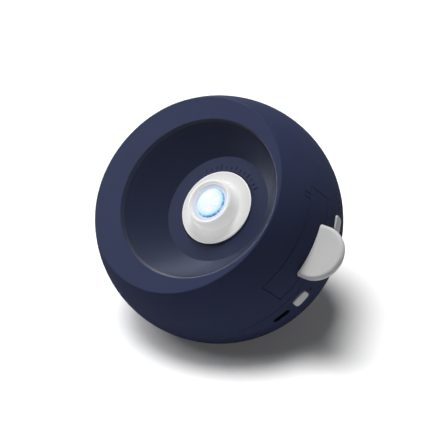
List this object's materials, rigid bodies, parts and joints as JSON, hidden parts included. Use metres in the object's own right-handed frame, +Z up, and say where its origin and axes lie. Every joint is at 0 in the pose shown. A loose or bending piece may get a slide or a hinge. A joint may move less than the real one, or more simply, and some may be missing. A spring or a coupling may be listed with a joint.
{
  "type": "planetarium projector",
  "caption": "Ball-shaped home planetarium projector with a slanted dish, a focus ring round a projection lens, a pull-out disc drawer, side buttons and a charging port.",
  "frame": {"origin": "centre of the rubber foot's underside, on the table", "axes": "+Z up; +X towards the drawer and its thumb tab; -Y is the side that the lens looks towards, at 43.6 degrees above the table"},
  "size_m": [0.1354, 0.1187, 0.118],
  "materials": {
    "shell_navy": "fine matte grain",
    "dish_navy": "semi-gloss",
    "floor_navy": "satin",
    "ring_white": "glossy",
    "key_grey": "satin",
    "lens_glass": "polished",
    "barrel_black": "matte",
    "tray_grey": "satin",
    "gear_white": "satin",
    "film_dark": "glossy film",
    "screw_steel": "zinc plated",
    "pin_steel": "ground",
    "port_steel": "drawn, nickel plated",
    "motor_steel": "drawn can",
    "sink_aluminium": "anodised",
    "board_green": "solder mask",
    "chip_black": "moulded",
    "led_white": "clear dome",
    "window_clear": "smoked",
    "foot_rubber": "matte",
    "cell_wrap": "shrink sleeve",
    "ballast_iron": "cast"
  },
  "bodies": {
    "housing": {"front_shell": "shell_navy", "dish": "dish_navy", "floor_plate": "floor_navy", "focus_guide": "barrel_black", "drawer_bay": "tray_grey", "lamp_housing": "barrel_black", "condenser_lens": "lens_glass", "condenser_ring": "pin_steel", "led_board": "sink_aluminium", "led_emitter": "led_white", "heat_sink": "sink_aluminium", "drive_motor": "motor_steel", "drive_gearbox": "gear_white", "drive_screws": "screw_steel", "lamp_screws": "screw_steel", "bay_screws": "screw_steel", "dish_screws": "screw_steel", "floor_screws": "screw_steel", "upper_switch": "chip_black", "lower_switch": "chip_black", "usb_socket": "port_steel", "usb_tongue": "chip_black", "main_board": "board_green", "board_chips": "chip_black", "indicator_windows": "window_clear", "indicator_leds": "led_white", "board_screws": "screw_steel", "shell_screws": "screw_steel", "rear_shell": "shell_navy", "foot_pad": "foot_rubber", "ballast_plate": "ballast_iron", "battery_cell": "cell_wrap", "battery_cradle": "barrel_black", "battery_strap": "pin_steel", "strap_screws": "screw_steel", "cradle_screws": "screw_steel"},
    "focus_ring": {"focus_ring": "ring_white", "focus_clip": "pin_steel"},
    "lens_barrel": {"lens_barrel": "ring_white", "barrel_pins": "pin_steel", "front_lens": "lens_glass", "rear_lens": "lens_glass", "lens_spacer": "barrel_black", "lens_retainer": "barrel_black"},
    "drawer": {"drawer_panel": "shell_navy", "drawer_tab": "key_grey", "tab_screws": "screw_steel", "disc_tray": "tray_grey", "tray_screws": "screw_steel"},
    "star_disc": {"disc_gear": "gear_white", "star_film": "film_dark", "film_clamp": "pin_steel"},
    "pinion": {"drive_pinion": "gear_white", "drive_shaft": "pin_steel"},
    "upper_button": {"upper_button": "key_grey", "upper_plunger": "gear_white"},
    "lower_button": {"lower_button": "key_grey", "lower_plunger": "gear_white"}
  },
  "joints": [
    {"name": "focus_turn", "type": "hinge", "parent": "housing", "child": "focus_ring", "pos_m": [0.0142, -0.02173, 0.07949], "axis": [0, -0.7242, 0.6896], "range_deg": [-55, 55]},
    {"name": "barrel_slide", "type": "slide", "parent": "housing", "child": "lens_barrel", "axis": [0, -0.7242, 0.6896], "range_m": [-0.00132, 0.00132]},
    {"name": "drawer_slide", "type": "slide", "parent": "housing", "child": "drawer", "axis": [1, 0, 0], "range_m": [0, 0.07]},
    {"name": "disc_spin", "type": "hinge", "parent": "drawer", "child": "star_disc", "pos_m": [0.0142, -0.00797, 0.06639], "axis": [0, -0.7242, 0.6896], "continuous": true},
    {"name": "pinion_spin", "type": "hinge", "parent": "housing", "child": "pinion", "pos_m": [-0.01075, -0.00797, 0.06639], "axis": [0, -0.7242, 0.6896], "continuous": true},
    {"name": "upper_button_press", "type": "slide", "parent": "housing", "child": "upper_button", "axis": [-0.9516, -0.212, -0.2226], "range_m": [0, 0.0005], "stiffness_N_per_m": 600, "springref_m": -0.001},
    {"name": "lower_button_press", "type": "slide", "parent": "housing", "child": "lower_button", "axis": [-0.9421, 0.2313, 0.2429], "range_m": [0, 0.0005], "stiffness_N_per_m": 600, "springref_m": -0.001}
  ],
  "couplings": [
    {"joint": "barrel_slide", "follows": "focus_turn", "m_per_rad": -0.0013543},
    {"joint": "pinion_spin", "follows": "disc_spin", "ratio": -5.2}
  ]
}
